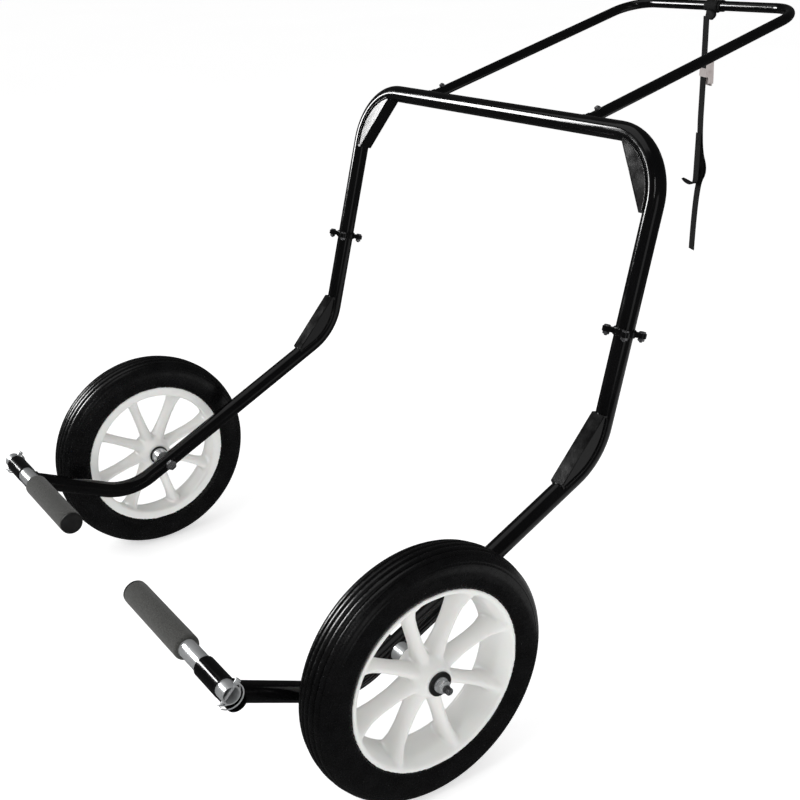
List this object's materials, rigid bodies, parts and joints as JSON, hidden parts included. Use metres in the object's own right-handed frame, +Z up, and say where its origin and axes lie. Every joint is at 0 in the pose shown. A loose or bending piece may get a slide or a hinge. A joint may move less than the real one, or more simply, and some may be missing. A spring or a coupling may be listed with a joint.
{
  "type": "two-wheeled lift dolly",
  "caption": "Tubular steel lift dolly with two spoked wheels, foam-covered lifting pegs, a looped pull handle and a tie strap",
  "frame": {"origin": "on the floor under the middle of the dolly's outline, between the wheels' ground line and the handle", "axes": "+X to the left hand of the person at the handle, along the wheel axis; +Y from the pegs at the front to the handle at the back; +Z up"},
  "size_m": [1.1202, 1.4312, 1.0709],
  "materials": {
    "frame_paint": "gloss black powder coat",
    "zinc": "bright zinc plate",
    "dark_fasteners": "black oxide",
    "washer_plastic": "satin black",
    "foam": "fine-grained grey foam",
    "tyre_rubber": "ribbed black rubber",
    "wheel_plastic": "off-white moulded plastic",
    "bearing_steel": "turned steel",
    "webbing": "woven black webbing",
    "buckle_steel": "stamped nickel-plated steel"
  },
  "bodies": {
    "frame": {"axle_bolt_left": "dark_fasteners", "axle_bolt_right": "dark_fasteners", "axle_nut_left": "zinc", "axle_nut_right": "zinc", "axle_spacers_left": "zinc", "axle_spacers_right": "zinc", "axle_washer_left": "zinc", "axle_washer_right": "zinc", "bend_gusset_left": "frame_paint", "bend_gusset_right": "frame_paint", "buckle_frame": "buckle_steel", "buckle_pin": "buckle_steel", "cross_tube_left": "frame_paint", "cross_tube_right": "frame_paint", "flange_bolts": "dark_fasteners", "flange_nuts": "dark_fasteners", "handle_bolts": "dark_fasteners", "handle_loop": "frame_paint", "handle_nuts": "dark_fasteners", "handle_stub_left": "frame_paint", "handle_stub_right": "frame_paint", "hub_washers_left": "washer_plastic", "hub_washers_right": "washer_plastic", "lower_flange_left": "frame_paint", "lower_flange_right": "frame_paint", "lower_leg_left": "frame_paint", "lower_leg_right": "frame_paint", "peg_socket_left": "frame_paint", "peg_socket_right": "frame_paint", "strap_fold": "webbing", "strap_hitch": "webbing", "strap_lower": "webbing", "strap_upper": "webbing", "top_gusset_left": "frame_paint", "top_gusset_right": "frame_paint", "upper_flange_left": "frame_paint", "upper_flange_right": "frame_paint", "upper_frame": "frame_paint"},
    "wheel_left": {"tyre_left": "tyre_rubber", "wheel_hub_left": "wheel_plastic", "hub_sleeve_left": "bearing_steel"},
    "peg_left": {"peg_tube_left": "zinc", "peg_foam_left": "foam", "peg_end_cap_left": "washer_plastic", "lock_pin_left": "zinc"},
    "ring_left": {"lock_ring_left": "zinc"},
    "wheel_right": {"tyre_right": "tyre_rubber", "wheel_hub_right": "wheel_plastic", "hub_sleeve_right": "bearing_steel"},
    "peg_right": {"peg_tube_right": "zinc", "peg_foam_right": "foam", "peg_end_cap_right": "washer_plastic", "lock_pin_right": "zinc"},
    "ring_right": {"lock_ring_right": "zinc"},
    "buckle_cam": {"buckle_lever": "buckle_steel"}
  },
  "joints": [
    {"name": "wheel_left_spin", "type": "hinge", "parent": "frame", "child": "wheel_left", "pos_m": [0.4965, -0.39836, 0.205], "axis": [1, 0, 0], "continuous": true},
    {"name": "peg_left_slide", "type": "slide", "parent": "frame", "child": "peg_left", "axis": [1, 0, 0], "range_m": [-0.007, 0.055]},
    {"name": "ring_left_swing", "type": "hinge", "parent": "peg_left", "child": "ring_left", "pos_m": [0.4595, -0.68125, 0.28999], "axis": [1, 0, 0], "range_deg": [0, 110]},
    {"name": "wheel_right_spin", "type": "hinge", "parent": "frame", "child": "wheel_right", "pos_m": [-0.4965, -0.39836, 0.205], "axis": [1, 0, 0], "continuous": true},
    {"name": "peg_right_slide", "type": "slide", "parent": "frame", "child": "peg_right", "axis": [-1, 0, 0], "range_m": [-0.007, 0.055]},
    {"name": "ring_right_swing", "type": "hinge", "parent": "peg_right", "child": "ring_right", "pos_m": [-0.4595, -0.68125, 0.28999], "axis": [1, 0, 0], "range_deg": [0, 110]},
    {"name": "buckle_cam_pivot", "type": "hinge", "parent": "frame", "child": "buckle_cam", "pos_m": [0.00139, 0.70088, 0.9295], "axis": [0.9205, -0.3907, 0], "range_deg": [0, 80]}
  ]
}
